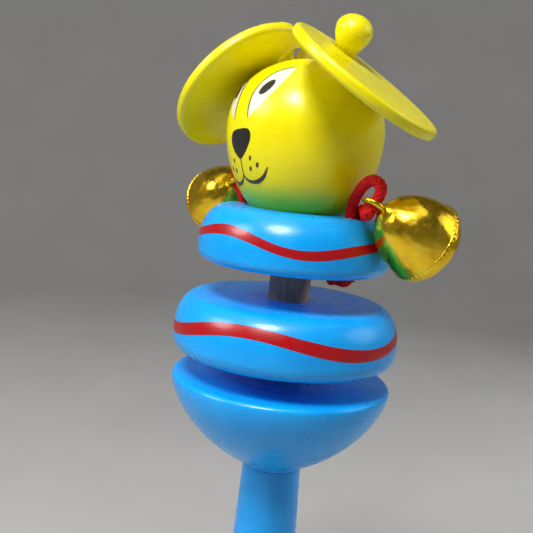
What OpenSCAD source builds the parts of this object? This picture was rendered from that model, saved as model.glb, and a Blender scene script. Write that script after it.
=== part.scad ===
// Hand-held wooden bell rattle: a turned stick with a half-ball base, a loose clapper
// disc, a collar disc, a puppy's head with two loose ears, and two bells on cords.
// Millimetres. +Z runs up the stick, the face looks along -Y, the toy's left is +X.
// The origin is on the stick's axis, at the middle of the grip.

/* [Handle] */
// Radius of the parallel grip near the free end
grip_r = 9.2; // [8:0.1:10]
// Length of the parallel grip
grip_len = 26; // [20:1:32]
// Radius of the handle where it meets the half-ball
handle_top_r = 6.9; // [6.2:0.1:7.6]
// Height of the half-ball's flat bottom above the middle of the grip
handle_top_z = 76.5; // [60:0.5:90]
// Distance from the grip to the rounded end
handle_end = 9; // [7:0.5:12]

/* [Half-ball base] */
// Radius of the half-ball at its rim
cup_r = 25.5; // [22:0.5:28]
// Depth of the full half-ball, before its bottom is cut flat
cup_depth = 23; // [20:0.5:26]
// Height of the flat bottom above the lowest point of the full curve
cup_flat = 1.5; // [1:0.1:2.5]
// How pointed the curve is: 1 is an ellipse, 2 is a cone
cup_power = 1.27; // [1:0.01:1.4]

/* [Discs] */
// Radius of the loose clapper disc
clap_r = 26; // [23:0.5:29]
// Thickness of the clapper disc
clap_t = 13.2; // [10:0.1:16]
// Gap between the half-ball and the clapper disc at rest
clap_gap = 5.2; // [3:0.1:7]
// Radius of the collar disc
collar_r = 22; // [20:0.5:24]
// Thickness of the collar disc
collar_t = 12.7; // [11:0.1:15]
// Gap between the clapper disc and the collar disc at rest
collar_gap = 8.1; // [7:0.1:10]

/* [Dowel] */
// Radius of the plain dowel that carries everything
dowel_r = 4.75; // [4.5:0.05:5.25]
// How far the dowel goes into the handle
dowel_foot = 18.5; // [12:0.5:24]
// How far the dowel goes into the head
dowel_head = 13; // [8:0.5:16]

/* [Head] */
// Radius of the head at its widest
head_r = 17.8; // [17:0.1:19]
// Height of the widest place above the head's flat bottom
head_mid = 17.8; // [16:0.1:19]
// Height of the crown above the widest place
head_up = 15.7; // [15:0.1:17]
// Half-height of the egg that the lower part is cut from
head_low = 22.8; // [20.5:0.1:26]

/* [Ears] */
// Radius of an ear disc
ear_r = 18; // [16:0.5:19]
// Thickness of an ear disc
ear_t = 2.5; // [2:0.1:2.8]
// Radius of the hole in an ear
ear_hole_r = 3.8; // [3.6:0.1:3.9]
// Distance from the hole to the middle of the ear
ear_offset = 11.8; // [10:0.1:12.5]
// Sideways place of a peg on the head
peg_x = 9.6; // [9:0.1:10.2]
// Outward lean of a peg
peg_lean = 26; // [22:1:28]
// Radius of a peg's neck
peg_neck_r = 2.1; // [1.8:0.1:2.3]
// Radius of a peg's round knob
peg_knob_r = 4.0; // [3.95:0.05:4.4]

/* [Bells] */
// Radius of a bell at its seam
bell_r = 8.9; // [8.5:0.1:9.5]
// How pointed the bell's cap is: 1 is an ellipse, 2 is a cone
cap_power = 1.1; // [1:0.01:1.2]
// Thickness of the bell's sheet metal
bell_wall = 0.5; // [0.4:0.1:0.7]
// Height of the ring's middle above the middle of the bell
bell_ring_z = 11.9; // [11.8:0.1:12.2]
// Width of the sound slots
bell_slot = 1.5; // [1:0.1:2]
// Radius of the loose pellet inside a bell
pellet_r = 2.6; // [2:0.1:3]

/* [Cords] */
// Radius of the braided cord
cord_r = 1.3; // [1:0.05:1.35]
// Distance of a cord hole from the stick's axis
hole_out = 14.8; // [14.5:0.1:15.5]
// Radius of a cord hole
hole_r = 3.0; // [2.7:0.1:3.1]
// Angle that the two cord holes are turned from the ears' line
hole_turn = 20; // [18:1:22]

/* [Hidden] */
$fn = 96;

wood_blue = [0.05, 0.56, 0.86];
wood_yellow = [0.93, 0.88, 0.04];
plain_wood = [0.78, 0.62, 0.42];
cord_red = [0.62, 0.03, 0.06];
bell_gold = [0.86, 0.65, 0.18];

glue = 0.05;                  // clearance of a glued joint
running = 0.06;               // clearance of the clapper disc on the dowel
steps = 20;                   // points in a quarter of a turned curve
cup_top = handle_top_z - cup_flat + cup_depth;
clap_z = cup_top + clap_gap;
collar_z = clap_z + clap_t + collar_gap;
head_z = collar_z + collar_t;
head_mid_z = head_z + head_mid;
dowel_low = handle_top_z - dowel_foot;
dowel_top = head_z + dowel_head;
peg_z = head_mid_z + head_up * sqrt(1 - pow(peg_x / head_r, 2));
peg_stem = 8;                 // length of a peg inside the head
peg_knob_h = 8.5;             // middle of a knob above the head's surface
knot_r = 3.2;
knot_h = 1.4;                 // half-height of a knot
knot_in = 1.9;                // how far a knot lies inward of its hole's middle
seam_z = -2.8;                // seam of a bell, below its middle
bell_up = 9.3;                // top of the cap above the middle
bell_down = 7.6;              // bottom of the slotted half below the middle
ring_r = 2.1;                 // middle of the ring's wire
wire_r = 0.6;

// Ear poses: [hole centre], then turn, droop and roll of the disc
left_ear_hole = [10.4, 0.1, 171.0];
left_ear_pose = [-21.9, 27.1, -9.3];
right_ear_hole = [-10.75, 0.4, 171.4];
right_ear_pose = [32.5, 39.6, -116.5];

// Bell poses: [ring centre], then tilt from upright and the way that the ring points
left_ring = [25.9, 0.1, 141.2];
left_bell_pose = [0, 61.7, -100.9];
right_ring = [-20.2, -4.3, 141.2];
right_bell_pose = [0, 66.4, -14.3];

// Cord routes, from the knot up through the collar disc, through the ring and back
left_route = [[14.4, 3.8, 123], [14.4, 3.8, 130], [14.4, 3.8, 137.6], [15.4, 3.5, 140.8],
              [17.8, 2.8, 143.4], [20.7, 1.9, 145.2], [23.5, 1.4, 146.0],
              [25.7, 1.4, 145.2], [26.3, 1.0, 143.6], [25.9, 0.1, 141.2],
              [25.3, -0.4, 139.5], [23.6, 0.4, 138.8], [20.8, 2.6, 138.8],
              [17.6, 4.8, 139.2], [14.9, 6.3, 138.9], [13.4, 6.4, 136.8],
              [13.4, 6.4, 130], [13.4, 6.4, 123]];
right_route = [[-13.4, -6.4, 123], [-13.4, -6.4, 130], [-13.4, -6.4, 137.6],
               [-14.2, -6.8, 140.6], [-15.9, -6.9, 143.2], [-17.9, -6.4, 145.0],
               [-20.0, -5.4, 145.2], [-20.9, -4.7, 143.6], [-20.2, -4.3, 141.2],
               [-19.2, -4.0, 139.4], [-17.4, -3.9, 138.9],
               [-15.4, -3.9, 138.6], [-14.4, -3.8, 136.8], [-14.4, -3.8, 130],
               [-14.4, -3.8, 123]];

// ---- shared shapes ----

// A point list round a quarter of a superellipse, from its side to its top
function quarter(wide, high, from = 0, to = 90) =
    [for (i = [0:steps]) let (a = from + (to - from) * i / steps) [wide * cos(a), high * sin(a)]];

// A solid disc on the axis with one rounded shoulder above and one below
module rounded_disc(r, t, top_w, top_h, low_w, low_h) {
    upper = [for (p = quarter(top_w, top_h)) [r - top_w + p[0], t - top_h + p[1]]];
    lower = [for (p = quarter(low_w, low_h)) [r - low_w + p[0], low_h - p[1]]];
    flipped = [for (i = [steps:-1:0]) lower[i]];
    rotate_extrude() polygon(concat([[0, 0]], flipped, upper, [[0, t]]));
}

function unit(v) = v / norm(v);
function along(route, i) =
    unit(route[min(i + 1, len(route) - 1)] - route[max(i - 1, 0)]);

// A side direction carried along the route, so that the tube doesn't twist
function side(route, i) =
    i == 0 ? [1, 0, 0]
           : let (s = side(route, i - 1), d = along(route, i)) unit(s - (s * d) * d);

// A round tube swept along a route of points
module tube(route, r, sides = 8) {
    rings = len(route);
    points = [for (i = [0:rings - 1]) let (d = along(route, i), s = side(route, i), b = cross(d, s))
                  for (k = [0:sides - 1]) let (a = 360 * k / sides)
                      route[i] + r * (cos(a) * s + sin(a) * b)];
    walls = [for (i = [0:rings - 2]) for (k = [0:sides - 1])
                 let (a = i * sides + k, b = i * sides + (k + 1) % sides)
                     [a, a + sides, b + sides, b]];
    first = [for (k = [0:sides - 1]) k];
    last = [for (k = [sides - 1:-1:0]) (rings - 1) * sides + k];
    polyhedron(points, concat(walls, [first, last]));
}

// A peg's own frame: the origin on the head's surface, +Z outward
module at_peg(s) {
    translate([s * peg_x, 0, peg_z]) rotate([0, s * peg_lean, 0]) children();
}

// A bell's own frame: the origin in the middle of the bell, +Z to the ring
module at_bell(ring, pose) {
    translate(ring) rotate(pose) translate([0, 0, -bell_ring_z]) children();
}

// Both cord holes through the collar disc
module cord_holes(z, t) {
    for (s = [0, 180])
        rotate(hole_turn + s) translate([hole_out, 0, z - 1]) cylinder(r = hole_r, h = t + 2);
}

// ---- stick ----

module handle() {
    half = grip_len / 2;
    end = [for (p = quarter(grip_r - 2, handle_end)) [2 + p[0], -half - p[1]]];
    closed = [for (i = [steps:-1:0]) end[i]];
    color(wood_blue) difference() {
        rotate_extrude() polygon(concat([[0, -half - handle_end]], closed,
            [[grip_r, half], [handle_top_r, handle_top_z], [0, handle_top_z]]));
        translate([0, 0, dowel_low - 0.5]) cylinder(r = dowel_r + glue, h = dowel_foot + 2);
    }
}

module base_half_ball() {
    flat = -cup_depth + cup_flat;
    curve = [for (i = [0:2 * steps]) let (a = 90 * i / (2 * steps))
                 [cup_r * pow(cos(a), cup_power), -1.2 - (cup_depth - 1.2) * pow(sin(a), cup_power)]];
    kept = [for (p = curve) if (p[1] > flat) p];
    low = kept[len(kept) - 1];
    rim = [for (p = quarter(1.2, 1.2)) [cup_r - 1.2 + p[0], -1.2 + p[1]]];
    upper = [for (i = [steps:-1:1]) rim[i]];
    color(wood_blue) difference() {
        translate([0, 0, cup_top]) rotate_extrude()
            polygon(concat([[0, 0]], upper, kept, [[low[0] - 0.8, flat], [0, flat]]));
        translate([0, 0, handle_top_z - 1]) cylinder(r = dowel_r + glue, h = cup_depth + 2);
    }
}

module dowel() {
    color(plain_wood) translate([0, 0, dowel_low])
        cylinder(r = dowel_r, h = dowel_top - dowel_low);
}

module clapper_disc() {
    color(wood_blue) difference() {
        translate([0, 0, clap_z]) rounded_disc(clap_r, clap_t, 5, 8, 3, 3.6);
        translate([0, 0, clap_z - 1]) cylinder(r = dowel_r + running, h = clap_t + 2);
    }
}

module collar_disc() {
    color(wood_blue) difference() {
        translate([0, 0, collar_z]) rounded_disc(collar_r, collar_t, 6, 8.5, 2, 2.4);
        translate([0, 0, collar_z - 1]) cylinder(r = dowel_r + glue, h = collar_t + 2);
        cord_holes(collar_z, collar_t);
    }
}

// ---- head and ears ----

module head() {
    start = -asin(head_mid / head_low);
    lower = [for (i = [0:steps]) let (a = start * (1 - i / steps)) [head_r * cos(a), head_low * sin(a)]];
    upper = [for (i = [1:steps]) let (a = 90 * i / steps) [head_r * cos(a), head_up * sin(a)]];
    color(wood_yellow) difference() {
        translate([0, 0, head_mid_z]) rotate_extrude()
            polygon(concat([[0, -head_mid]], lower, upper));
        translate([0, 0, head_z - 1]) cylinder(r = dowel_r + glue, h = dowel_head + 1.5);
        for (s = [-1, 1])
            at_peg(s) translate([0, 0, -peg_stem - 0.4]) cylinder(r = peg_neck_r + glue, h = peg_stem + 3);
    }
}

// An ear disc with its hole at the origin, lying flat, reaching along +X
module ear_disc() {
    edge = 0.9;
    difference() {
        translate([ear_offset, 0, -ear_t / 2])
            rounded_disc(ear_r, ear_t, edge, edge, edge, edge);
        translate([0, 0, -ear_t]) cylinder(r = ear_hole_r, h = 2 * ear_t);
    }
}

module left_ear() {
    color(wood_yellow) translate(left_ear_hole) rotate([0, 0, left_ear_pose[2]])
        rotate([0, left_ear_pose[1], 0]) rotate([left_ear_pose[0], 0, 0]) ear_disc();
}

module right_ear() {
    color(wood_yellow) translate(right_ear_hole) rotate([0, 0, right_ear_pose[2]])
        rotate([0, right_ear_pose[1], 0]) rotate([right_ear_pose[0], 0, 0]) ear_disc();
}

// A turned peg: a stem in the head, a neck through the ear and a round knob
module ear_peg(s) {
    knob_half = 3.7;
    start = -asin(sqrt(1 - pow(peg_neck_r / peg_knob_r, 2)));
    knob = [for (i = [0:steps]) let (a = start + (90 - start) * i / steps)
                [peg_knob_r * cos(a), peg_knob_h + knob_half * sin(a)]];
    color(wood_yellow) at_peg(s) rotate_extrude()
        polygon(concat([[0, -peg_stem], [peg_neck_r, -peg_stem]], knob));
}

module left_ear_peg() { ear_peg(1); }
module right_ear_peg() { ear_peg(-1); }

// ---- cords ----

module left_cord() { color(cord_red) tube(left_route, cord_r); }
module right_cord() { color(cord_red) tube(right_route, cord_r); }

// A tied knot under the collar disc, as a squashed ball round both ends of a cord
module knot(s) {
    half = [for (i = [-steps:steps]) let (a = 90 * i / steps) [knot_r * cos(a), knot_h * sin(a)]];
    color(cord_red) rotate(hole_turn + s)
        translate([hole_out - knot_in, 0, collar_z - knot_h - 0.1]) rotate_extrude() polygon(half);
}

module left_cord_knot() { knot(0); }
module right_cord_knot() { knot(180); }

// ---- bells ----

// Half of a bell's outline, from its seam to its top or bottom
function shell(r, high, power) =
    [for (p = quarter(1, 1)) [r * pow(p[0], power), high * pow(p[1], power)]];

module bell_cap(ring, pose) {
    high = bell_up - seam_z;
    outer = shell(bell_r, high, cap_power);
    inner = shell(bell_r - bell_wall, high - bell_wall, cap_power);
    back = [for (i = [steps:-1:0]) inner[i]];
    color(bell_gold) at_bell(ring, pose) translate([0, 0, seam_z + 0.3])
        rotate_extrude() polygon(concat(outer, back));
}

module bell_base(ring, pose) {
    high = bell_down + seam_z;
    outer = shell(bell_r, high, 1);
    inner = shell(bell_r - bell_wall, high - bell_wall, 1);
    back = [for (i = [steps:-1:0]) inner[i]];
    reach = bell_r - 1.8;
    color(bell_gold) at_bell(ring, pose) translate([0, 0, seam_z - 0.3]) difference() {
        union() {
            mirror([0, 0, 1]) rotate_extrude() polygon(concat(outer, back));
            rotate_extrude() translate([bell_r + 0.05, 0.3]) square([0.55, 1.0], center = true);
        }
        for (a = [0, 90]) rotate(a) {
            translate([-reach, -bell_slot / 2, -high - 1]) cube([2 * reach, bell_slot, high + 0.2]);
            for (s = [-1, 1])
                translate([s * reach, 0, -high - 1]) cylinder(r = bell_slot * 0.8, h = high + 0.2);
        }
    }
}

module bell_ring(ring, pose) {
    color(bell_gold) at_bell(ring, pose) translate([0, 0, bell_ring_z])
        rotate([0, 90, 0]) rotate_extrude() translate([ring_r, 0]) circle(r = wire_r, $fn = 24);
}

// The loose steel pellet lies at the lowest place inside the bell
module bell_pellet(ring, pose) {
    low = 5.3;
    color([0.6, 0.6, 0.62]) translate([0, 0, -low]) at_bell(ring, pose) sphere(r = pellet_r);
}

module left_bell_cap() { bell_cap(left_ring, left_bell_pose); }
module left_bell_base() { bell_base(left_ring, left_bell_pose); }
module left_bell_ring() { bell_ring(left_ring, left_bell_pose); }
module left_bell_pellet() { bell_pellet(left_ring, left_bell_pose); }
module right_bell_cap() { bell_cap(right_ring, right_bell_pose); }
module right_bell_base() { bell_base(right_ring, right_bell_pose); }
module right_bell_ring() { bell_ring(right_ring, right_bell_pose); }
module right_bell_pellet() { bell_pellet(right_ring, right_bell_pose); }

handle();
base_half_ball();
dowel();
clapper_disc();
collar_disc();
head();
left_ear();
right_ear();
left_ear_peg();
right_ear_peg();
left_cord();
right_cord();
left_cord_knot();
right_cord_knot();
left_bell_cap();
left_bell_base();
left_bell_ring();
left_bell_pellet();
right_bell_cap();
right_bell_base();
right_bell_ring();
right_bell_pellet();
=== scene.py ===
# %% [markdown]
# # A wooden bell rattle with a puppy's head
# The toy is a stack of turned, painted beech parts on one dowel: a handle, a half-ball, a disc
# that slides and claps, a collar disc, and a round head with two loose ear discs on pegs. Two
# jingle bells hang on braided cords that are knotted under the collar.
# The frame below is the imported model. Its sizes drive every piece that follows, and each
# piece rides on one of its bodies, so that the toy still moves when its joints do.

# %% Load the frame
import math

import bmesh
import bpy
from mathutils import Euler, Matrix, Vector, noise
from mathutils.geometry import delaunay_2d_cdt


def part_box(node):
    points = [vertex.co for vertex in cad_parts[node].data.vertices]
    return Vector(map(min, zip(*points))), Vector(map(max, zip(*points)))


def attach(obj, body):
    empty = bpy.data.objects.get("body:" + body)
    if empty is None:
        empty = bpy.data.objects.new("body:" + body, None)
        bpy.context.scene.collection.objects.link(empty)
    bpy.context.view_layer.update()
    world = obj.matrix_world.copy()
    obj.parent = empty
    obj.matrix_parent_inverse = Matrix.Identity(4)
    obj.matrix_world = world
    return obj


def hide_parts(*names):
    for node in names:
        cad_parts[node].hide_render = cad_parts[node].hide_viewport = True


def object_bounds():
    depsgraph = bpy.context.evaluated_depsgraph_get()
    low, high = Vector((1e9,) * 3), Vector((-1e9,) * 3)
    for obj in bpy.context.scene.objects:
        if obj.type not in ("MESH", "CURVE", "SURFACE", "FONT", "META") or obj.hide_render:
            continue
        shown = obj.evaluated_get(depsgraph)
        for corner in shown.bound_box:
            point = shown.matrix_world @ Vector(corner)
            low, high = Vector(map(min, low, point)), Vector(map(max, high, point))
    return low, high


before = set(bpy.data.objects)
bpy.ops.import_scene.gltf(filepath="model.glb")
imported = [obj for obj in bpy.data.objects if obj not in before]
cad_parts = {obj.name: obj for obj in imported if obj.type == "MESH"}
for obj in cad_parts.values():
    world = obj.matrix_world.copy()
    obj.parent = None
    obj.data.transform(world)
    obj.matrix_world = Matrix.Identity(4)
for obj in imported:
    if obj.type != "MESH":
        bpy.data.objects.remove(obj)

MM = 0.001
TURN = 2 * math.pi
cad_box = [list(corner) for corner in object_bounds()]
print("box of the frame, mm:", [[round(v / MM, 1) for v in corner] for corner in cad_box])

# %% [markdown]
# ## Camera
# The camera comes first, because everything is judged through it. It stands a hand's length
# away, on the toy's left and a little in front, and looks slightly down. It is rolled a few
# degrees, so that the stick leans to the right, as a toy does when it is held up in one hand.

# %% The camera
CAMERA_PLACE = Vector((150.8, -109.5, 151.3)) * MM
CAMERA_AIM = Vector((-0.5, -6.7, 123.8)) * MM
CAMERA_ROLL = math.radians(5.6)
camera_data = bpy.data.cameras.new("camera")
camera_data.lens = 54.95
camera_data.sensor_width = 36
camera_data.clip_start = 0.005
camera = bpy.data.objects.new("camera", camera_data)
looking = (CAMERA_AIM - CAMERA_PLACE).to_track_quat("-Z", "Y").to_matrix()
camera.matrix_world = Matrix.Translation(CAMERA_PLACE) @ (
    looking @ Matrix.Rotation(CAMERA_ROLL, 3, "Z")).to_4x4()
bpy.context.scene.collection.objects.link(camera)
bpy.context.scene.camera = camera
print("camera stands", round((CAMERA_AIM - CAMERA_PLACE).length / MM), "mm from its aim")

# %% [markdown]
# ## Tools for making pieces
# Nearly every wooden part was turned on a lathe, so the main tool spins an outline about the
# stick. Outlines are lists of (radius, height) in millimetres, with arcs for the round
# stretches. A mesh from a real outline keeps rounded edges and bores, which a stock cylinder
# would not have. The same helper then shades the piece, gives it its paint, and says which
# body it rides on and which plain CAD node it stands for.

# %% Outline and mesh helpers
def arc(middle, wide, high, start, stop, count=14):
    """Points on an ellipse's arc between two angles in degrees, ends included."""
    angles = [math.radians(start + (stop - start) * k / count) for k in range(count + 1)]
    return [(middle[0] + wide * math.cos(a), middle[1] + high * math.sin(a)) for a in angles]


def spun(outline, sides=192):
    """Points and faces of a closed outline spun about Z. A point with no radius is a pole."""
    points, rings = [], []
    for radius, height in outline:
        if radius < 1e-6:
            rings.append([len(points)])
            points.append((0, 0, height))
            continue
        rings.append(list(range(len(points), len(points) + sides)))
        for k in range(sides):
            a = TURN * k / sides
            points.append((radius * math.cos(a), radius * math.sin(a), height))
    faces = []
    for low, high in zip(rings, rings[1:] + rings[:1]):
        for k in range(sides if len(low) + len(high) > 2 else 0):
            n = (k + 1) % sides
            corners = [low[k % len(low)], low[n % len(low)],
                       high[n % len(high)], high[k % len(high)]]
            faces.append(list(dict.fromkeys(corners)))
    return points, faces


def looped(loops):
    """Faces between a list of equal point loops that closes on itself, like a tyre."""
    count = len(loops[0])
    points = [p for loop in loops for p in loop]
    faces = []
    for i in range(len(loops)):
        j = (i + 1) % len(loops)
        for k in range(count):
            n = (k + 1) % count
            faces.append([i * count + k, i * count + n, j * count + n, j * count + k])
    return points, faces


def joined(parts):
    """Several (points, faces) pairs as one pair."""
    points, faces = [], []
    for some_points, some_faces in parts:
        faces += [[len(points) + k for k in face] for face in some_faces]
        points += some_points
    return points, faces


def new_mesh(name, points, faces, sharp=40):
    mesh = bpy.data.meshes.new(name)
    mesh.from_pydata([Vector(p) * MM for p in points], [], faces)
    solid = bmesh.new()
    solid.from_mesh(mesh)
    bmesh.ops.recalc_face_normals(solid, faces=solid.faces)
    solid.to_mesh(mesh)
    solid.free()
    mesh.shade_smooth()
    mesh.set_sharp_from_angle(angle=math.radians(sharp))
    return mesh


def new_piece(name, mesh, finish, slot, body, *nodes):
    mesh.materials.clear()
    mesh.materials.append(finish)
    piece = bpy.data.objects.new(name, mesh)
    bpy.context.scene.collection.objects.link(piece)
    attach(piece, body)
    if nodes:
        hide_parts(*nodes)
    print(f"{name}: {len(mesh.polygons)} faces, rides on {body}")
    return piece


def cut(mesh, cutter_mesh, sharp=40):
    """The mesh with the cutter's shape taken out of it."""
    body = bpy.data.objects.new("being_cut", mesh)
    cutter = bpy.data.objects.new("cutter", cutter_mesh)
    for item in (body, cutter):
        bpy.context.scene.collection.objects.link(item)
    bite = body.modifiers.new("bite", "BOOLEAN")
    bite.operation = "DIFFERENCE"
    bite.solver = "EXACT"
    bite.object = cutter
    bpy.context.view_layer.update()
    graph = bpy.context.evaluated_depsgraph_get()
    result = bpy.data.meshes.new_from_object(body.evaluated_get(graph))
    for item in (body, cutter):
        bpy.data.objects.remove(item)
    result.shade_smooth()
    result.set_sharp_from_angle(angle=math.radians(sharp))
    return result


def span(node):
    """A node's lowest and highest corners in millimetres."""
    low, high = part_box(node)
    return low / MM, high / MM


for node in ("handle", "base_half_ball", "clapper_disc", "collar_disc", "head"):
    low, high = span(node)
    print(node, "radius", round(high.x, 2), "from", round(low.z, 1), "to", round(high.z, 1))

# %% [markdown]
# ## Small helpers for materials
# A finish is a node tree: colours and bumps come from procedural noise in the toy's own
# coordinates, which are metres, so a noise scale of 1000 makes spots of about a millimetre.
# One class keeps the node plumbing short. Values that are the same everywhere are set on the
# shader's own sockets.

# %% Node helpers
class Finish:
    """A Principled material, new or copied, with short calls for the nodes it shares."""

    def __init__(self, name, source=None, **sockets):
        self.material = source.copy() if source else bpy.data.materials.new(name)
        self.material.name = name
        self.material.use_nodes = True
        self.tree = self.material.node_tree
        self.shader = self.tree.nodes["Principled BSDF"]
        self.place = self.tree.nodes.new("ShaderNodeTexCoord").outputs["Object"]
        for label, value in sockets.items():
            self.shader.inputs[label.replace("_", " ")].default_value = value

    def add(self, kind, **inputs):
        node = self.tree.nodes.new("ShaderNode" + kind)
        for label, value in inputs.items():
            socket = node.inputs[label.replace("_", " ")]
            if isinstance(value, bpy.types.NodeSocket):
                self.tree.links.new(value, socket)
            else:
                socket.default_value = value
        return node

    def stretched(self, scale):
        """The toy's coordinates scaled unevenly, for grain that runs one way."""
        return self.add("Mapping", Vector=self.place, Scale=scale).outputs["Vector"]

    def cloud(self, scale, detail=3.0, rough=0.55, place=None):
        node = self.add("TexNoise", Vector=place or self.place, Scale=scale,
                        Detail=detail, Roughness=rough)
        return node.outputs["Fac"]

    def ramp(self, source, *stops):
        """Colours at positions from 0 to 1. A colour is three numbers, or one for a grey."""
        node = self.add("ValToRGB", Fac=source)
        elements = node.color_ramp.elements
        while len(elements) < len(stops):
            elements.new(0.5)
        for element, (position, colour) in zip(elements, stops):
            shade = (colour,) * 3 if isinstance(colour, (int, float)) else colour
            element.position = position
            element.color = (*shade, 1)
        return node.outputs["Color"]

    def mixed(self, share, first, second, blend="MIX"):
        node = self.tree.nodes.new("ShaderNodeMix")
        node.data_type = "RGBA"
        node.blend_type = blend
        for socket, value in zip((node.inputs[0], node.inputs[6], node.inputs[7]),
                                 (share, first, second)):
            if isinstance(value, bpy.types.NodeSocket):
                self.tree.links.new(value, socket)
            elif socket is node.inputs[0]:
                socket.default_value = value
            else:
                socket.default_value = (*value, 1)
        return node.outputs[2]

    def set(self, label, source):
        self.tree.links.new(source, self.shader.inputs[label])

    def bump(self, *layers):
        """Bump layers of (height source, strength, depth in metres), one on another."""
        under = None
        for height, strength, depth in layers:
            node = self.add("Bump", Strength=strength, Distance=depth, Height=height)
            if under:
                self.tree.links.new(under, node.inputs["Normal"])
            under = node.outputs["Normal"]
        self.set("Normal", under)


print("material helpers ready")

# %% [markdown]
# ## Paint on turned wood
# The wood was dipped and brushed with two coats of gloss enamel. Real enamel on beech is
# never one flat colour: the coat is thinner on edges and end grain, the lathe's fine rings
# and the wood's pores show through as tiny ripples, and dust settles as small specks. The
# paint here is a base colour drifting between a thin and a thick coat, a few specks, a
# clear coat for the gloss, and three bumps: soft brushing, lathe rings and pores.

# %% Blue and yellow enamel
def enamel(name, thin, thick, speck):
    paint = Finish(name, Coat_Weight=0.15, Coat_Roughness=0.16, Specular_IOR_Level=0.38)
    drift = paint.ramp(paint.cloud(95, 4.0), (0.34, thick), (0.66, thin))
    streaks = paint.cloud(1.0, 3.0, 0.6, paint.stretched((900, 900, 70)))
    brushed = paint.mixed(paint.ramp(streaks, (0.42, 0.0), (0.75, 0.3)), drift, thin)
    dust = paint.ramp(paint.cloud(1500, 1.0), (0.74, 0.0), (0.79, 0.8))
    paint.set("Base Color", paint.mixed(dust, brushed, speck))
    paint.set("Roughness", paint.ramp(paint.cloud(260, 4.0), (0.3, 0.24), (0.7, 0.36)))
    rings = paint.cloud(1.0, 2.0, 0.5, paint.stretched((15, 15, 1400)))
    pores = paint.cloud(1.0, 2.0, 0.6, paint.stretched((350, 2600, 2600)))
    paint.bump((paint.cloud(120, 2.0), 0.35, 0.00035), (rings, 0.16, 0.00006),
               (pores, 0.22, 0.00005), (dust, 0.25, 0.00004))
    return paint.material


blue_enamel = enamel("blue_enamel", (0.004, 0.39, 0.96), (0.001, 0.33, 0.90),
                     (0.001, 0.22, 0.66))
yellow_enamel = enamel("yellow_enamel", (0.90, 0.82, 0.002), (0.86, 0.75, 0.001),
                       (0.62, 0.50, 0.004))
print("enamels:", blue_enamel.name, yellow_enamel.name)

# %% [markdown]
# The head's paint has a painted green cast towards the neck. It is painted reflected light,
# standing in for the blue of the lit disc below bouncing onto the yellow.
# It is the same enamel with a painted tint that fades out by height.

# %% The head's enamel
# Where the painted bounce-light tint starts and ends above the head's foot, and how far its edge
# wobbles, in mm.
BOUNCE_TINT_FOOT, BOUNCE_TINT_TOP = 0.8, 7.5
BOUNCE_TINT_WAVE = 1.2


def painted_bounce_tint(material, low, high, tint):
    """A copy of an enamel with a painted bounce-light tint that fades out from one height to
    another.
    """
    paint = Finish("head_enamel", source=material)
    height = paint.add("SeparateXYZ", Vector=paint.place).outputs["Z"]
    wavy = paint.add("Math", Value=paint.cloud(160, 3.0))
    wavy.operation = "MULTIPLY"
    wavy.inputs[1].default_value = BOUNCE_TINT_WAVE * MM
    lifted = paint.add("Math", Value=height)
    lifted.operation = "ADD"
    paint.tree.links.new(wavy.outputs[0], lifted.inputs[1])
    fade = paint.add("MapRange", Value=lifted.outputs[0])
    fade.interpolation_type = "SMOOTHSTEP"
    for label, value in (("From Min", low), ("From Max", high), ("To Min", 1.0), ("To Max", 0.0)):
        fade.inputs[label].default_value = value
    base = paint.shader.inputs["Base Color"].links[0].from_socket
    paint.set("Base Color", paint.mixed(fade.outputs["Result"], base, tint))
    return paint.material


head_low, head_high = span("head")
# Painted reflected light: the green tint stands in for blue light bounced up from the lit disc
# onto the head's lower part.
head_enamel = painted_bounce_tint(yellow_enamel, (head_low.z + BOUNCE_TINT_FOOT) * MM,
                     (head_low.z + BOUNCE_TINT_TOP) * MM, (0.30, 0.55, 0.001))
print("the painted bounce tint covers the head's lowest", BOUNCE_TINT_TOP, "mm")

# %% [markdown]
# ## Bare dowel, cord, gold plate, steel and inks
# The dowel was left bare: long brown pores run up it. The cord is polyester braid, whose
# strands are modelled as real strands, so its material only adds fibres and a sheen. The bells
# are steel sheet with a thin gold plating: bright, slightly hazy, with fine scratches. The
# face and the stripes are printed inks, which are flatter than the enamel under them.

# %% The other finishes
def bare_wood():
    wood = Finish("bare_wood", IOR=1.45)
    along = wood.stretched((900, 900, 55))
    grain = wood.cloud(1.0, 5.0, 0.65, along)
    pores = wood.cloud(1.0, 2.0, 0.5, wood.stretched((4200, 4200, 160)))
    tone = wood.ramp(grain, (0.3, (0.30, 0.17, 0.085)), (0.5, (0.46, 0.29, 0.16)),
                     (0.72, (0.56, 0.38, 0.22)))
    dark = wood.ramp(pores, (0.6, 0.0), (0.7, 0.6))
    wood.set("Base Color", wood.mixed(dark, tone, (0.16, 0.085, 0.04)))
    wood.set("Roughness", wood.ramp(grain, (0.2, 0.5), (0.8, 0.68)))
    wood.bump((grain, 0.3, 0.0001), (pores, 0.5, 0.00008))
    return wood.material


def braid_fibre():
    fibre = Finish("braid_fibre", Sheen_Weight=0.1, Sheen_Roughness=0.4,
                   Sheen_Tint=(1.0, 0.12, 0.08, 1.0), Specular_IOR_Level=0.2)
    threads = fibre.cloud(5200, 2.0, 0.7)
    patches = fibre.cloud(420, 3.0)
    lit = fibre.ramp(patches, (0.3, (0.66, 0.001, 0.003)), (0.7, (0.88, 0.008, 0.008)))
    shade = fibre.ramp(threads, (0.35, 0.6), (0.6, 0.0))
    fibre.set("Base Color", fibre.mixed(shade, lit, (0.30, 0.0, 0.002)))
    fibre.set("Roughness", fibre.ramp(threads, (0.3, 0.42), (0.7, 0.62)))
    fibre.bump((threads, 0.5, 0.00007))
    return fibre.material


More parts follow.
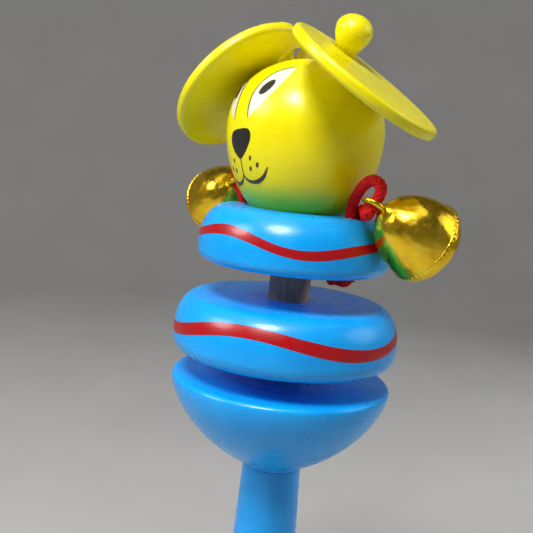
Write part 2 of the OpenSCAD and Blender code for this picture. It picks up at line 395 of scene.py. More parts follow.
def gold_plate():
    gold = Finish("gold_plate", Metallic=1.0, Specular_Tint=(1.0, 0.92, 0.62, 1.0))
    worn = gold.cloud(260, 5.0, 0.65)
    tone = gold.ramp(worn, (0.3, (0.88, 0.50, 0.018)), (0.6, (1.0, 0.69, 0.04)),
                     (0.8, (1.0, 0.77, 0.09)))
    scratches = gold.cloud(1.0, 2.0, 0.6, gold.stretched((5200, 420, 900)))
    marks = gold.ramp(scratches, (0.62, 0.0), (0.72, 1.0))
    gold.set("Base Color", gold.mixed(marks, tone, (0.86, 0.58, 0.06)))
    gold.set("Roughness", gold.ramp(gold.cloud(700, 4.0), (0.3, 0.17), (0.7, 0.30)))
    gold.bump((gold.cloud(190, 2.0), 0.55, 0.0004), (gold.cloud(1300, 2.0), 0.1, 0.0001),
              (marks, 0.25, 0.00002))
    return gold.material


def dull_steel():
    steel = Finish("dull_steel", Metallic=1.0)
    spots = steel.cloud(900, 4.0)
    steel.set("Base Color", steel.ramp(spots, (0.3, (0.34, 0.33, 0.32)), (0.7, (0.58, 0.58, 0.6))))
    steel.set("Roughness", steel.ramp(spots, (0.3, 0.45), (0.7, 0.25)))
    steel.bump((spots, 0.3, 0.0001))
    return steel.material


def ink(name, full, thin, gloss=0.3):
    print_ink = Finish(name, Coat_Weight=0.25, Coat_Roughness=0.15)
    cover = print_ink.cloud(520, 4.0)
    pinholes = print_ink.ramp(print_ink.cloud(2600, 1.0), (0.76, 0.0), (0.8, 0.7))
    tone = print_ink.ramp(cover, (0.35, full), (0.75, thin))
    print_ink.set("Base Color", print_ink.mixed(pinholes, tone, thin))
    print_ink.set("Roughness", print_ink.ramp(cover, (0.3, gloss), (0.7, gloss + 0.12)))
    print_ink.bump((cover, 0.15, 0.00005))
    return print_ink.material


dowel_wood = bare_wood()
cord_fibre = braid_fibre()
bell_gold = gold_plate()
pellet_steel = dull_steel()
red_ink = ink("red_ink", (0.44, 0.0, 0.002), (0.36, 0.002, 0.008), 0.26)
black_ink = ink("black_ink", (0.010, 0.010, 0.009), (0.022, 0.021, 0.016))
white_ink = ink("white_ink", (0.80, 0.76, 0.62), (0.74, 0.70, 0.54))
print("finishes:", [m.name for m in bpy.data.materials])

# %% [markdown]
# ## Handle, half-ball and dowel
# The handle is one long turning: a rounded free end, a straight grip and a taper up to the
# half-ball. It is drilled for the dowel, which is glued into it. The half-ball is turned with
# a flat top, a softened rim and a bore. A spun outline is the direct copy of how they are made.

# %% The handle
dowel_low, dowel_high = span("dowel")
BORE = dowel_high.x + 0.05
handle_low, handle_high = span("handle")
GRIP = handle_high.x
GRIP_HALF = 13.0
HANDLE_TOP = 6.9
end_deep = -GRIP_HALF - handle_low.z
handle_outline = [(0, handle_low.z)] + arc((2, -GRIP_HALF), GRIP - 2, end_deep, -90, 0)
handle_outline += [(GRIP, 0.0), (GRIP, GRIP_HALF - 1), (GRIP - 0.04, GRIP_HALF + 1)]
taper = (GRIP - HANDLE_TOP) / (handle_high.z - GRIP_HALF)
for step in range(1, 9):
    height = GRIP_HALF + 1 + (handle_high.z - 0.4 - GRIP_HALF - 1) * step / 8
    handle_outline.append((GRIP - taper * (height - GRIP_HALF), height))
handle_outline += arc((HANDLE_TOP - 0.4, handle_high.z - 0.4), 0.4, 0.4, 0, 90, 4)
handle_outline += [(BORE, handle_high.z), (BORE, dowel_low.z - 0.5), (0, dowel_low.z - 0.5)]
new_piece("handle_turning", new_mesh("handle_turning", *spun(handle_outline)),
          blue_enamel, "blue_paint", "stick", "handle")

# %% The half-ball
ball_low, ball_high = span("base_half_ball")
BALL = ball_high.x
BALL_DEEP = 23.0
CURVE = 1.27
RIM = 1.2
ball_outline = [(BORE, ball_low.z), (HANDLE_TOP + 0.3, ball_low.z)]
for step in range(48, -1, -1):
    a = math.radians(90 * step / 48)
    drop = RIM + (BALL_DEEP - RIM) * math.sin(a) ** CURVE
    point = (BALL * math.cos(a) ** CURVE, ball_high.z - drop)
    if point[1] > ball_low.z + 0.05 and point[0] > HANDLE_TOP + 0.6:
        ball_outline.append(point)
ball_outline += arc((BALL - RIM, ball_high.z - RIM), RIM, RIM, 4, 90, 10)
ball_outline += [(BORE + 0.5, ball_high.z), (BORE, ball_high.z - 0.5)]
new_piece("half_ball_turning", new_mesh("half_ball_turning", *spun(ball_outline)),
          blue_enamel, "blue_paint", "stick", "base_half_ball")

# %% The dowel
dowel_r = dowel_high.x
dowel_outline = [(0, dowel_low.z), (dowel_r - 0.4, dowel_low.z), (dowel_r, dowel_low.z + 0.4)]
dowel_outline += [(dowel_r, dowel_low.z + k * 10) for k in range(1, 9)]
dowel_outline += [(dowel_r, dowel_high.z - 0.4), (dowel_r - 0.4, dowel_high.z), (0, dowel_high.z)]
new_piece("dowel_rod", new_mesh("dowel_rod", *spun(dowel_outline, 128)),
          dowel_wood, "plain_wood", "stick", "dowel")

# %% [markdown]
# ## The two discs
# Both discs are fat turnings with a wide soft shoulder above and a tight one below. The lower
# one is loose on the dowel and claps against the half-ball; its bore has a small chamfer. The
# upper one, the collar, is glued, and two cord holes go through it. The holes are cut with
# a trumpet-shaped cutter, so that their edges come out rounded, as sanded holes do.

# %% Disc turnings
def disc_outline(node, upper, lower, bore):
    """An outline between a disc's box corners, with (width, height) shoulders."""
    low, high = span(node)
    outline = [(bore, low.z + 0.4), (bore + 0.4, low.z)]
    outline += arc((high.x - lower[0], low.z + lower[1]), *lower, -90, 0)
    outline += arc((high.x - upper[0], high.z - upper[1]), *upper, 0, 90, 24)
    return outline + [(bore + 0.4, high.z), (bore, high.z - 0.4)]


CLAPPER_TOP, CLAPPER_FOOT = (5.0, 8.0), (3.0, 3.6)
COLLAR_TOP, COLLAR_FOOT = (6.0, 8.5), (2.0, 2.4)
clapper_mesh = new_mesh("clapper", *spun(
    disc_outline("clapper_disc", CLAPPER_TOP, CLAPPER_FOOT, dowel_r + 0.06)))
new_piece("clapper_turning", clapper_mesh, blue_enamel, "blue_paint", "clapper", "clapper_disc")

# %% The collar and its cord holes
HOLE_OUT = 14.8
HOLE_R = 3.0
HOLE_TURN = math.radians(20)
collar_low, collar_high = span("collar_disc")
trumpet = [(0, collar_low.z - 1), (HOLE_R + 1.2, collar_low.z - 1)]
trumpet += [(HOLE_R + 0.6 - x, collar_low.z + z)
            for x, z in arc((0, 0.6), 0.6, 0.6, -90, 0, 6)]
trumpet += [(HOLE_R + 0.6 - x, collar_high.z + z)
            for x, z in arc((0, -0.6), 0.6, 0.6, 0, 90, 6)]
trumpet += [(HOLE_R + 1.2, collar_high.z + 1), (0, collar_high.z + 1)]
cutters = []
for side in (0, math.pi):
    out = Matrix.Rotation(HOLE_TURN + side, 3, "Z") @ Vector((HOLE_OUT, 0, 0))
    points, faces = spun(trumpet, 48)
    cutters.append(([Vector(p) + out for p in points], faces))
collar_mesh = new_mesh("collar", *spun(disc_outline("collar_disc", COLLAR_TOP, COLLAR_FOOT, BORE)))
collar_mesh = cut(collar_mesh, new_mesh("trumpets", *joined(cutters)))
new_piece("collar_turning", collar_mesh, blue_enamel, "blue_paint", "stick", "collar_disc")

# %% [markdown]
# ## The red stripes
# A band of red ink was rolled round each disc in a slow wave. It is a real film here, a few
# hundredths of a millimetre proud of the enamel, and not a colour in a material: its edge stays
# crisp at any distance, and it is a solid of its own. Each wave is the
# sum of two turns round the disc, which gives the uneven swing of a hand-made line.

# %% Wave-shaped ink bands
FILM = 0.03


def disc_radius(top, upper, height):
    """A disc's radius at a height on its straight side or its upper shoulder."""
    rise = max(0.0, height - (top.z - upper[1])) / upper[1]
    return top.x - upper[0] + upper[0] * math.sqrt(max(0.0, 1 - rise * rise))


def ink_band(node, upper, half_width, middle, waves):
    top = span(node)[1]
    loops = []
    for k in range(240):
        turn = TURN * k / 240
        centre = middle + sum(size * math.cos(count * (turn - math.radians(peak)))
                              for size, count, peak in waves)
        thick = half_width * (1 + 0.08 * math.sin(5 * turn + 1))
        heights = [centre + thick * (s / 5 - 1) for s in range(11)]
        skin = [(disc_radius(top, upper, z) + FILM, z) for z in heights]
        back = [(r - 2 * FILM, z) for r, z in reversed(skin)]
        loops.append([(r * math.sin(turn), -r * math.cos(turn), z) for r, z in skin + back])
    return looped(loops)


clapper_band = ink_band("clapper_disc", CLAPPER_TOP, 1.3, 111.0, [(2.03, 3, 39.6), (0.33, 4, 9.3)])
new_piece("clapper_stripe", new_mesh("clapper_stripe", *clapper_band), red_ink, None, "clapper")
collar_band = ink_band("collar_disc", COLLAR_TOP, 1.0, 131.0, [(1.28, 3, 7.7), (0.41, 5, 15.6)])
new_piece("collar_stripe", new_mesh("collar_stripe", *collar_band), red_ink, None, "stick")

# %% [markdown]
# ## The head
# The head is a ball that narrows to a flat neck, glued on top of the dowel and the collar. Its
# upper part is an ellipse a little lower than a ball, and its lower part is a longer ellipse
# that is cut flat. Two holes in the crown take the ear pegs.

# %% The head turning
HEAD = head_high.x
HEAD_MIDDLE = head_low.z + 17.8
HEAD_UP = head_high.z - HEAD_MIDDLE
HEAD_DOWN = 22.8
neck_angle = math.degrees(math.asin((HEAD_MIDDLE - head_low.z) / HEAD_DOWN))
head_outline = [(0, head_low.z + 13.5), (BORE, head_low.z + 13.5), (BORE, head_low.z)]
head_outline += arc((0, HEAD_MIDDLE), HEAD, HEAD_DOWN, -neck_angle, 0, 40)
head_outline += arc((0, HEAD_MIDDLE), HEAD, HEAD_UP, 0, 90, 48)[1:-1] + [(0, head_high.z)]
new_piece("head_turning", new_mesh("head_turning", *spun(head_outline)),
          head_enamel, "yellow_paint", "stick", "head")

# %% [markdown]
# ## The printed face
# The face is pad-printed: a shield-shaped nose, a line down to a curling smile, three whisker
# dots on each cheek, and two leaf-shaped eyes with a thin brow line and an oval pupil. Each
# mark is a thin film that follows the head. Its outline is drawn in degrees on the head,
# filled with small triangles, and lifted off the paint. Drawing in degrees keeps the marks
# true to the curved surface, and the whole print sits slightly askew, as such prints do.

# %% Films on the head
FACE_TURN = 2.0
PRINT_SLANT = 0.12
GRID = 2.0


def on_head(turn, rise, lift=0.0):
    """A point on the head from degrees round from the face's middle and degrees up."""
    up = math.radians(rise + PRINT_SLANT * turn)
    half = HEAD_UP if up > 0 else HEAD_DOWN
    out = Vector((math.cos(up) / HEAD, math.sin(up) / half)).normalized()
    radius = HEAD * math.cos(up) + lift * out.x
    round_to = math.radians(turn + FACE_TURN)
    height = HEAD_MIDDLE + half * math.sin(up) + lift * out.y
    return radius * math.sin(round_to), -radius * math.cos(round_to), height


def film(outline, lift=FILM):
    """A closed thin solid over an outline of (turn, rise) points on the head."""
    ring = [Vector(p) for p in outline]
    edges = [(k, (k + 1) % len(ring)) for k in range(len(ring))]
    low = [min(p[i] for p in ring) for i in (0, 1)]
    high = [max(p[i] for p in ring) for i in (0, 1)]
    steps = [int((high[i] - low[i]) / GRID) + 1 for i in (0, 1)]
    inner = [Vector((low[0] + (i + 0.5) * GRID, low[1] + (j + 0.5) * GRID))
             for i in range(steps[0]) for j in range(steps[1])]
    inner = [p for p in inner if min((p - q).length for q in ring) > GRID / 3]
    flat, _, triangles, *_ = delaunay_2d_cdt(ring + inner, edges, [], 1, 1e-5)
    used = sorted({k for tri in triangles for k in tri})
    place = {k: n for n, k in enumerate(used)}
    top = [on_head(flat[k].x, flat[k].y, lift) for k in used]
    bottom = [on_head(flat[k].x, flat[k].y, -FILM) for k in used]
    count = len(used)
    faces = [[place[k] for k in tri] for tri in triangles]
    sides = {}
    for tri in faces:
        for a, b in zip(tri, tri[1:] + tri[:1]):
            sides[(a, b)] = True
    rim = [(a, b) for a, b in sides if (b, a) not in sides]
    faces += [[k + count for k in reversed(tri)] for tri in faces]
    faces += [[b, a, a + count, b + count] for a, b in rim]
    return top + bottom, faces


def smoothed(points, closed=True, count=8):
    """A smooth curve through given points."""
    points = [Vector(p) for p in points]
    curve = []
    total = len(points)
    for i in range(total if closed else total - 1):
        if closed:
            a, b, c, d = (points[(i + k) % total] for k in (-1, 0, 1, 2))
        else:
            a, b, c, d = (points[min(max(i + k, 0), total - 1)] for k in (-1, 0, 1, 2))
        for k in range(count):
            t = k / count
            curve.append(0.5 * (2 * b + t * (c - a) + t * t * (2 * a - 5 * b + 4 * c - d)
                                + t ** 3 * (3 * b - a - 3 * c + d)))
    return curve if closed else curve + [points[-1]]


def stroke(path, widths):
    """An outline round a smooth brush line whose half-width runs through the given list."""
    line = smoothed(path, False)
    left, right = [], []
    for k, point in enumerate(line):
        ahead = (line[min(k + 1, len(line) - 1)] - line[max(k - 1, 0)]).normalized()
        aside = Vector((-ahead.y, ahead.x))
        place = k / (len(line) - 1) * (len(widths) - 1)
        n = min(int(place), len(widths) - 2)
        half = widths[n] + (widths[n + 1] - widths[n]) * (place - n)
        left.append(point + aside * half)
        right.append(point - aside * half)
    return left + right[::-1]


def oval(middle, end, half_width, count=20):
    """An oval round a middle whose long half reaches to an end point, in degrees."""
    middle, end = Vector(middle), Vector(end)
    long = end - middle
    wide = Vector((-long.y, long.x)).normalized() * half_width
    angles = [TURN * k / count for k in range(count)]
    return [middle + long * math.cos(a) + wide * math.sin(a) for a in angles]


def mirrored(outline):
    return [(-p[0], p[1]) for p in reversed(outline)]


print("a film stands", FILM, "mm proud of the paint")

# %% Nose, mouth and whisker dots
nose = smoothed([(0, -2.8), (5.5, -2.9), (9.6, -3.9), (11.6, -6.4), (11.2, -10), (7.8, -14.4),
                 (3.2, -17.8), (0, -19.2), (-3.2, -17.8), (-7.8, -14.4), (-11.2, -10),
                 (-11.6, -6.4), (-9.6, -3.9), (-5.5, -2.9)])
lip_line = stroke([(0, -18.4), (0.1, -23), (0, -28.4)], [0.55, 0.55, 0.7])
smile = stroke([(-0.3, -27.4), (1.6, -30.2), (5.0, -32.2), (10.5, -33.3), (17.2, -32.8),
                (22.8, -30.0), (26.4, -25.0)], [0.5, 0.75, 0.95, 1.1, 1.5, 1.3, 0.35])
dots = [oval((10.8, -19.3), (11.2, -17.9), 1.15), oval((17.3, -23.5), (17.9, -22.0), 1.35),
        oval((10.2, -25.2), (10.9, -23.8), 1.2)]
marks = [film(nose, 1.4 * FILM), film(lip_line), film(smile), film(mirrored(smile))]
marks += [film(dot) for dot in dots] + [film(mirrored(dot)) for dot in dots]
new_piece("face_print_black", new_mesh("face_print_black", *joined(marks)),
          black_ink, None, "stick")

# %% Eyes
BROW = [(7.4, 3.8), (5.7, 14.4), (5.1, 23.1), (6.4, 32.5), (9.8, 39.7), (15.2, 45.6),
        (23.6, 49.3), (34.9, 51.2)]
LOWER_LID = [(34.9, 51.2), (32.8, 43.8), (30.6, 37.7), (27.1, 30.0), (23.5, 23.3),
             (19.4, 17.1), (14.7, 11.3), (7.4, 3.8)]
EYE_MIDDLE = -0.5
EYE_FOOT = 4
EYE_LEAN = 0.15


def far_side(outline):
    """The outline mirrored about the eyes' own middle line, which leans a little."""
    return [(2 * (EYE_MIDDLE - EYE_LEAN * (rise - EYE_FOOT)) - turn, rise)
            for turn, rise in reversed(outline)]


eye = smoothed(BROW, False)[:-1] + smoothed(LOWER_LID, False)[:-1]
brow = stroke(BROW, [0.25, 0.55, 0.6, 0.6, 0.65, 0.75, 0.7, 0.3])
pupil = oval((16.2, 28.9), (20.3, 35.4), 4.4)
whites = [film(eye), film(far_side(eye))]
new_piece("face_print_white", new_mesh("face_print_white", *joined(whites)),
          white_ink, None, "stick")
inks = [film(shape, 2 * FILM) for shape in (brow, pupil, far_side(brow), far_side(pupil))]
new_piece("eye_print_black", new_mesh("eye_print_black", *joined(inks)),
          black_ink, None, "stick")

# %% [markdown]
# ## Ears and pegs
# An ear is a thin disc with a round hole near its edge, hung loosely on a peg, so that it
# flops. Its loops run from the outer edge across one face, through the hole and back across
# the other face: each loop blends from the big circle to the small one, which makes clean
# rounded edges without cutting. The peg is a turned pin with a mushroom knob.

# %% Ear discs
EAR = 18.0
EAR_THICK = 2.5
EAR_HOLE = 3.8
EAR_OFFSET = 11.8
EAR_EDGE = 0.9
HOLE_EDGE = 0.5


def ear_loops():
    half = EAR_THICK / 2
    loops = []
    for x, z in arc((0, half - EAR_EDGE), EAR_EDGE, EAR_EDGE, 0, 90, 8):
        loops.append((0.0, EAR - EAR_EDGE + x, z))
    loops += [(share, None, half) for share in (0.12, 0.3, 0.5, 0.7, 0.88)]
    for x, z in arc((0, half - HOLE_EDGE), HOLE_EDGE, HOLE_EDGE, 90, 0, 5):
        loops.append((1.0, EAR_HOLE + HOLE_EDGE - x, z))
    loops += [(share, radius, -z) for share, radius, z in reversed(loops)]
    made = []
    for share, radius, z in loops:
        ring = []
        for k in range(160):
            a = TURN * k / 160
            way = Vector((math.cos(a), math.sin(a), 0))
            big = Vector((EAR_OFFSET, 0, 0)) + way * (radius or EAR - EAR_EDGE)
            small = way * (radius or EAR_HOLE + HOLE_EDGE)
            flex = 0.10 * math.sin(0.17 * big.y) * (1 if share < 1 else 0)
            ring.append(big.lerp(small, share) + Vector((0, 0, z + flex * (1 - share))))
        made.append(ring)
    return made


def posed(hole, pose):
    """Roll, droop and turn in degrees at a hole's place, as the CAD says them."""
    angles = [math.radians(a) for a in pose]
    return Matrix.Translation(Vector(hole)) @ Euler(angles, "XYZ").to_matrix().to_4x4()


ears = {"left_ear": ((10.4, 0.1, 171.0), (-21.9, 27.1, -9.3)),
        "right_ear": ((-10.75, 0.4, 171.4), (32.5, 39.6, -116.5))}
for ear, (hole, pose) in ears.items():
    stand = posed(hole, pose)
    points, faces = looped(ear_loops())
    ear_mesh = new_mesh(ear + "_disc", [stand @ p for p in points], faces)
    new_piece(ear + "_disc", ear_mesh, yellow_enamel, "yellow_paint", ear, ear)

# %% Pegs
PEG_X = 9.6
PEG_LEAN = 26
NECK = 2.1
KNOB = 4.0
KNOB_WIDEST = 9.0
KNOB_TOP = 12.2
PEG_DEEP = 8
peg_z = HEAD_MIDDLE + HEAD_UP * math.sqrt(1 - (PEG_X / HEAD) ** 2)
peg_outline = [(0, -PEG_DEEP), (NECK - 0.4, -PEG_DEEP), (NECK, 0.4 - PEG_DEEP), (NECK, -2),
               (NECK, 1), (NECK, 3.4)]
peg_outline += [(NECK + 0.15, 4.4), (NECK + 0.55, 5.3), (NECK + 1.05, 6.2), (KNOB - 0.42, 7.1)]
peg_outline += [(KNOB - 0.1, 8.1)]
peg_outline += arc((0, KNOB_WIDEST), KNOB, KNOB_TOP - KNOB_WIDEST, 0, 90, 16)[:-1]
peg_outline += [(0, KNOB_TOP)]
for side, name in ((1, "left"), (-1, "right")):
    stand = posed((side * PEG_X, 0, peg_z), (0, side * PEG_LEAN, 0))
    points, faces = spun(peg_outline, 96)
    peg_mesh = new_mesh(name + "_peg", [stand @ Vector(p) for p in points], faces)
    new_piece(name + "_peg_turning", peg_mesh, yellow_enamel, "yellow_paint", "stick",
              name + "_ear_peg")

# %% [markdown]
# ## Braided cords and their knots
# Each bell hangs on a short doubled cord: up through its hole, through the bell's ring, and
# back down, with both ends tied in a knot under the collar. The cord is a round braid. One way
# is a tube with a bumpy material, but its outline would stay straight. Here twelve flat
# strands wind along the route, six each way, and pass over and under each other at every
# crossing, which is how the machine lays them.

# %% The braid tool
CORD = 1.3
STRANDS = 6
LAY = 7.0
STRAND_WIDE, STRAND_THICK = 0.43, 0.21
WEAVE = 0.19


def evenly(points, step, closed=False):
    """Points spaced evenly along a smooth curve through the route."""
    fine = smoothed(points, closed, 24) + ([Vector(points[0])] if closed else [])
    lengths = [0.0]
    for a, b in zip(fine, fine[1:]):
        lengths.append(lengths[-1] + (b - a).length)
    count = max(8, round(lengths[-1] / step))
    result, k = [], 0
    for i in range(count + (0 if closed else 1)):
        want = lengths[-1] * i / count
        while k < len(fine) - 2 and lengths[k + 1] < want:
            k += 1
        share = (want - lengths[k]) / max(1e-9, lengths[k + 1] - lengths[k])
        result.append(fine[k].lerp(fine[k + 1], share))
    return result, lengths[-1]


def braid(route, closed=False, scale=1.0):
    """Points and faces of a round braid along a route in millimetres."""
    line, length = evenly(route, 0.2, closed)
    total = len(line)
    frames, across = [], None
    for k, point in enumerate(line):
        after = line[(k + 1) % total] if closed else line[min(k + 1, total - 1)]
        before = line[k - 1] if closed else line[max(k - 1, 0)]
        ahead = (after - before).normalized()
        across = across or ahead.orthogonal().normalized()
        across = (across - ahead * across.dot(ahead)).normalized()
        frames.append((point, ahead, across, ahead.cross(across)))
    turns = max(1, round(length / (LAY * scale)))
    core = (CORD - WEAVE - STRAND_THICK) * scale
    parts = []
    for way in (1, -1):
        for strand in range(STRANDS):
            rings = []
            for k, (point, ahead, side, up) in enumerate(frames):
                wind = TURN * turns * k / total
                a = TURN * strand / STRANDS + way * wind
                out = side * math.cos(a) + up * math.sin(a)
                lean = math.atan(TURN * turns * core / length) * way
                flat = ahead.cross(out) * math.cos(lean) - ahead * math.sin(lean)
                radius = core + way * WEAVE * scale * math.cos(STRANDS * wind)
                centre = point + out * radius
                rings.append([centre + flat * STRAND_WIDE * scale * math.cos(TURN * n / 8)
                              + out * STRAND_THICK * scale * math.sin(TURN * n / 8)
                              for n in range(8)])
            points, faces = looped(rings)
            if not closed:
                faces = faces[:-8]
                faces += [list(range(8)), list(range(len(points) - 8, len(points)))]
            parts.append((points, faces))
    return joined(parts), length


print("one braid has", 2 * STRANDS, "strands")

# %% The two cords
LEFT_ROUTE = [(14.4, 3.8, 123), (14.4, 3.8, 130), (14.4, 3.8, 137.6), (15.4, 3.5, 140.8),
              (17.8, 2.8, 143.4), (20.7, 1.9, 145.2), (23.5, 1.4, 146.0),
              (25.7, 1.4, 145.2), (26.3, 1.0, 143.6), (25.9, 0.1, 141.2),
              (25.3, -0.4, 139.5), (23.6, 0.4, 138.8), (20.8, 2.6, 138.8),
              (17.6, 4.8, 139.2), (14.9, 6.3, 138.9), (13.4, 6.4, 136.8),
              (13.4, 6.4, 130), (13.4, 6.4, 123)]
RIGHT_ROUTE = [(-13.4, -6.4, 123), (-13.4, -6.4, 130), (-13.4, -6.4, 137.6),
               (-14.2, -6.8, 140.6), (-15.9, -6.9, 143.2), (-17.9, -6.4, 145.0),
               (-20.0, -5.4, 145.2), (-20.9, -4.7, 143.6), (-20.2, -4.3, 141.2),
               (-19.2, -4.0, 139.4), (-17.4, -3.9, 138.9),
               (-15.4, -3.9, 138.6), (-14.4, -3.8, 136.8), (-14.4, -3.8, 130),
               (-14.4, -3.8, 123)]
for name, route in (("left_cord", LEFT_ROUTE), ("right_cord", RIGHT_ROUTE)):
    made, length = braid(route)
    new_piece(name + "_braid", new_mesh(name, *made, 60), cord_fibre, "red_cord", "stick", name)
    print(name, "is", round(length, 1), "mm long")

# %% The knots
KNOT_WIDE, KNOT_DEEP = 0.68, 0.36
KNOT_SCALE = 0.8
for name in ("left_cord_knot", "right_cord_knot"):
    low, high = span(name)
    centre = (low + high) / 2
    loop = []
    for k in range(30):
        a = TURN * k / 30
        loop.append(centre + Vector((KNOT_WIDE * (math.sin(a) + 2 * math.sin(2 * a)),
                                     KNOT_WIDE * (math.cos(a) - 2 * math.cos(2 * a)),
                                     -KNOT_DEEP * math.sin(3 * a))))
    made, length = braid(loop, True, KNOT_SCALE)
    new_piece(name + "_tied", new_mesh(name, *made, 60), cord_fibre, "red_cord", "stick", name)

# %% [markdown]
# ## Jingle bells
# A bell is pressed from two cups of thin sheet. The upper cup rises to a small neck with a wire
# ring; the lower cup is cut with a cross of slots that lets the sound out. A narrow rolled
# seam crimps the two together. Each cup has an inside as well as an outside, so the slots show
# real metal edges and the steel pellet can be seen in the dark. A little smooth noise bends
# the sheet, because pressed bells are never perfectly round.

# %% Shapes of a bell, in its own frame
BELL = 8.9
WALL = 0.5
SEAM = -2.8
CAP_HIGH = 12.1
CAP_POINT = 1.1
BASE_DEEP = 4.8
RING_UP = 11.9
RING_R, WIRE = 2.1, 0.6
SLOT_HALF = 0.75
SLOT_END = 1.2
SLOT_REACH = 7.1


def dented(points, seed, size=0.13):
    """The same points with smooth shallow dents, the same on both faces of the sheet."""
    moved = []
    for p in points:
        p = Vector(p)
        way = Vector((p.x, p.y, p.z * 0.7))
        at = way.normalized() * 2.1 + Vector((seed, 2 * seed, 0))
        moved.append(p * (1 + size / BELL * (noise.noise(at) + 0.45 * noise.noise(at * 2.7))))
    return moved


def cap_outline():
    curve = [(r ** CAP_POINT, z ** CAP_POINT) for r, z in arc((0, 0), 1, 1, 0, 90, 36)[:-1]]
    outer = [(BELL * r, SEAM + 0.3 + CAP_HIGH * z) for r, z in curve if BELL * r > 2.1]
    neck = [(1.75, 9.5), (1.45, 9.85), (1.25, 10.15), (0.8, 10.3), (0, 10.35)]
    inner = [((BELL - WALL) * r, SEAM + 0.3 + (CAP_HIGH - WALL) * z) for r, z in curve]
    return outer + neck + [(0, SEAM + 0.3 + CAP_HIGH - WALL)] + inner[::-1]


def base_outline():
    outer = arc((0, SEAM - 0.3), BELL, BASE_DEEP, -90, 0, 30)
    inner = arc((0, SEAM - 0.3), BELL - WALL, BASE_DEEP - WALL, 0, -90, 30)
    return [(0, outer[0][1])] + outer[1:] + inner[:-1] + [(0, inner[-1][1])]


def slot_cutter():
    """A cross of two slots with round, wider ends, as one tall solid."""
    corner = math.asin(SLOT_HALF / SLOT_END)
    outline = []
    for quarter in range(4):
        turn = TURN * quarter / 4
        for k in range(13):
            a = -math.pi + corner + (TURN - 2 * corner) * k / 12
            tip = Vector((SLOT_REACH + SLOT_END * math.cos(a), SLOT_END * math.sin(a)))
            outline.append(Matrix.Rotation(turn, 2) @ tip)
        outline.append(Matrix.Rotation(turn, 2) @ Vector((SLOT_HALF, SLOT_HALF)))
    count = len(outline)
    low, high = SEAM - 0.3 - BASE_DEEP - 1, SEAM - 1.1
    points = [(p.x, p.y, low) for p in outline] + [(p.x, p.y, high) for p in outline]
    faces = [list(range(count))[::-1], list(range(count, 2 * count))]
    faces += [[k, (k + 1) % count, count + (k + 1) % count, count + k] for k in range(count)]
    return points, faces


def seam_roll():
    """The crimped seam: a rolled band with shallow nips all round."""
    loops = []
    for k in range(360):
        a = TURN * k / 360
        at = Vector((3 * math.cos(a), 3 * math.sin(a), 4))
        nip = 0.035 * math.sin(52 * a) + 0.05 * noise.noise(at)
        ring = []
        for n in range(14):
            b = TURN * n / 14
            radius = BELL - 0.04 + nip + 0.29 * math.copysign(abs(math.cos(b)) ** 0.7, math.cos(b))
            height = SEAM + 0.5 * math.copysign(abs(math.sin(b)) ** 0.7, math.sin(b))
            ring.append((radius * math.cos(a), radius * math.sin(a), height))
        loops.append(ring)
    return looped(loops)


def wire_ring():
    loops = []
    for k in range(72):
        a = TURN * k / 72
        ring = []
        for n in range(18):
            b = TURN * n / 18
            r = RING_R + WIRE * math.cos(b)
            ring.append((WIRE * math.sin(b), r * math.sin(a), RING_UP + r * math.cos(a)))
        loops.append(ring)
    return looped(loops)


print("a bell is", 2 * BELL, "mm wide and", round(CAP_HIGH + BASE_DEEP + 0.6, 1), "mm high")

# %% The two bells
bells = {"left": ((25.9, 0.1, 141.2), (0, 61.7, -100.9)),
         "right": ((-20.2, -4.3, 141.2), (0, 66.4, -14.3))}
for seed, (name, (ring_place, pose)) in enumerate(bells.items(), 3):
    stand = posed(ring_place, pose) @ Matrix.Translation((0, 0, -RING_UP))
    body = name + "_bell"
    base_points, base_faces = spun(base_outline(), 128)
    base_mesh = cut(new_mesh("base", dented(base_points, seed), base_faces),
                    new_mesh("slots", *slot_cutter()))
    base_mesh.transform(Matrix.Scale(1 / MM, 4))
    base_mesh.transform(stand)
    base_mesh.transform(Matrix.Scale(MM, 4))
    new_piece(body + "_base_cup", base_mesh, bell_gold, "bell_brass", body, body + "_base")
    cap_points, cap_faces = spun(cap_outline(), 128)
    shapes = [("_cap_cup", (dented(cap_points, seed), cap_faces), [body + "_cap"]),
              ("_seam_roll", seam_roll(), []), ("_wire_ring", wire_ring(), [body + "_ring"])]
    for ending, (points, faces), nodes in shapes:
        mesh = new_mesh(body + ending, [stand @ Vector(p) for p in points], faces)
        new_piece(body + ending, mesh, bell_gold, "bell_brass", body, *nodes)

# %% [markdown]
# ## Pellets
# A small steel ball lies loose in each bell. It was cropped from wire and tumbled, so it is
# only roughly round, with soft flats.

# %% Tumbled pellets
for seed, name in enumerate(("left", "right"), 8):
    low, high = span(name + "_bell_pellet")
    centre, radius = (low + high) / 2, (high.x - low.x) / 2
    lump = bmesh.new()
    bmesh.ops.create_icosphere(lump, subdivisions=5, radius=1.0)
    points = []
    for vertex in lump.verts:
        dent = noise.noise(vertex.co * 1.6 + Vector((seed, 0, 0)))
        points.append(centre + vertex.co * radius * (0.975 + 0.035 * dent))
    faces = [[v.index for v in face.verts] for face in lump.faces]
    lump.free()
    new_piece(name + "_pellet_ball", new_mesh(name + "_pellet", points, faces), pellet_steel,
              "steel", name + "_pellet", name + "_bell_pellet")

# %% [markdown]
# ## Stage and light
# The toy stands on a plain pale floor that curves up all round, so every view has the same
# quiet background. A soft lamp in front and above is the main light. A wide one from the toy's
# right softens the shadows between the discs, and one from behind edges the shaded side. Two
# wide cards only show in glossy things, as a jeweller lights gold without washing out the rest.
# Plain colours are shown as they are, with the standard view and not a filmic one, which would
# grey the enamel.

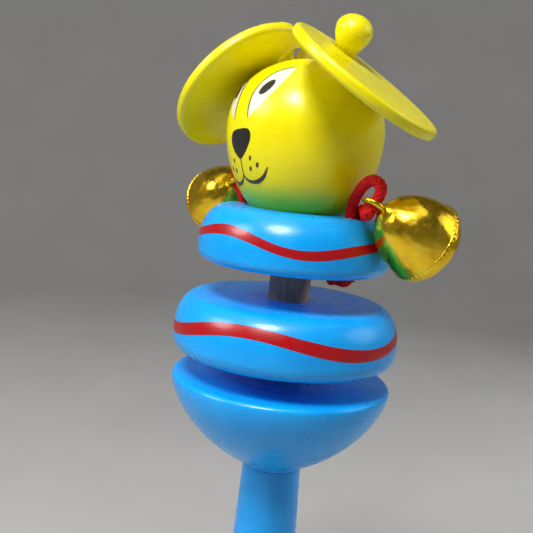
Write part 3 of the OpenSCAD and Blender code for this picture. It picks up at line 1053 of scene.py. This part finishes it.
# %% Floor and lamps
FLOOR_R = 1100
WALL_HIGH = 900
floor_z = cad_box[0][2] / MM - 0.2
bowl = [(0, floor_z)] + [(r, floor_z) for r in (200, 500, 700)]
bowl += [(700 + 400 * math.sin(a), floor_z + 400 - 400 * math.cos(a))
         for a in [math.radians(6 * k) for k in range(1, 16)]]
bowl += [(FLOOR_R, floor_z + WALL_HIGH), (FLOOR_R + 5, floor_z + WALL_HIGH),
         (FLOOR_R + 5, floor_z - 5), (0, floor_z - 5)]
paper = Finish("pale_paper", Roughness=0.8)
paper.set("Base Color", paper.ramp(paper.cloud(14, 4.0), (0.3, 0.50), (0.7, 0.54)))
paper.bump((paper.cloud(900, 3.0), 0.1, 0.0002))
floor_mesh = new_mesh("floor", *spun(bowl, 96))
floor_mesh.materials.append(paper.material)
floor = bpy.data.objects.new("floor", floor_mesh)
bpy.context.scene.collection.objects.link(floor)

HEAD_PLACE = Vector((0, 0, 145)) * MM
LAMP_AWAY = 0.6


def lamp(name, direction, size, power, colour=(1, 1, 1), glossy=True, diffuse=True):
    data = bpy.data.lights.new(name, "AREA")
    data.shape = "DISK"
    data.size = size
    data.energy = power
    data.color = colour
    item = bpy.data.objects.new(name, data)
    way = Vector(direction).normalized()
    turn = (-way).to_track_quat("-Z", "Y").to_matrix().to_4x4()
    item.matrix_world = Matrix.Translation(HEAD_PLACE + way * LAMP_AWAY) @ turn
    item.visible_glossy = glossy
    item.visible_diffuse = diffuse
    bpy.context.scene.collection.objects.link(item)


lamp("front_lamp", (0.29, -0.52, 0.80), 0.22, 4.2, (1, 0.98, 0.94))
lamp("side_lamp", (-0.30, -0.82, 0.48), 0.24, 1.5)
lamp("rim_lamp", (0.10, 0.97, 0.22), 0.2, 1.3, glossy=False)
lamp("top_card", (0.08, -0.22, 0.97), 0.7, 1.4, diffuse=False)
lamp("far_card", (0.51, 0.75, 0.45), 0.4, 0.7, diffuse=False)
world = bpy.data.worlds.new("soft_sky")
world.use_nodes = True
sky = world.node_tree.nodes["Background"]
sky.inputs["Color"].default_value = (1.0, 0.98, 0.95, 1)
sky.inputs["Strength"].default_value = 0.07
bpy.context.scene.world = world
bpy.context.scene.view_settings.view_transform = "Standard"
print("stage and lamps ready")
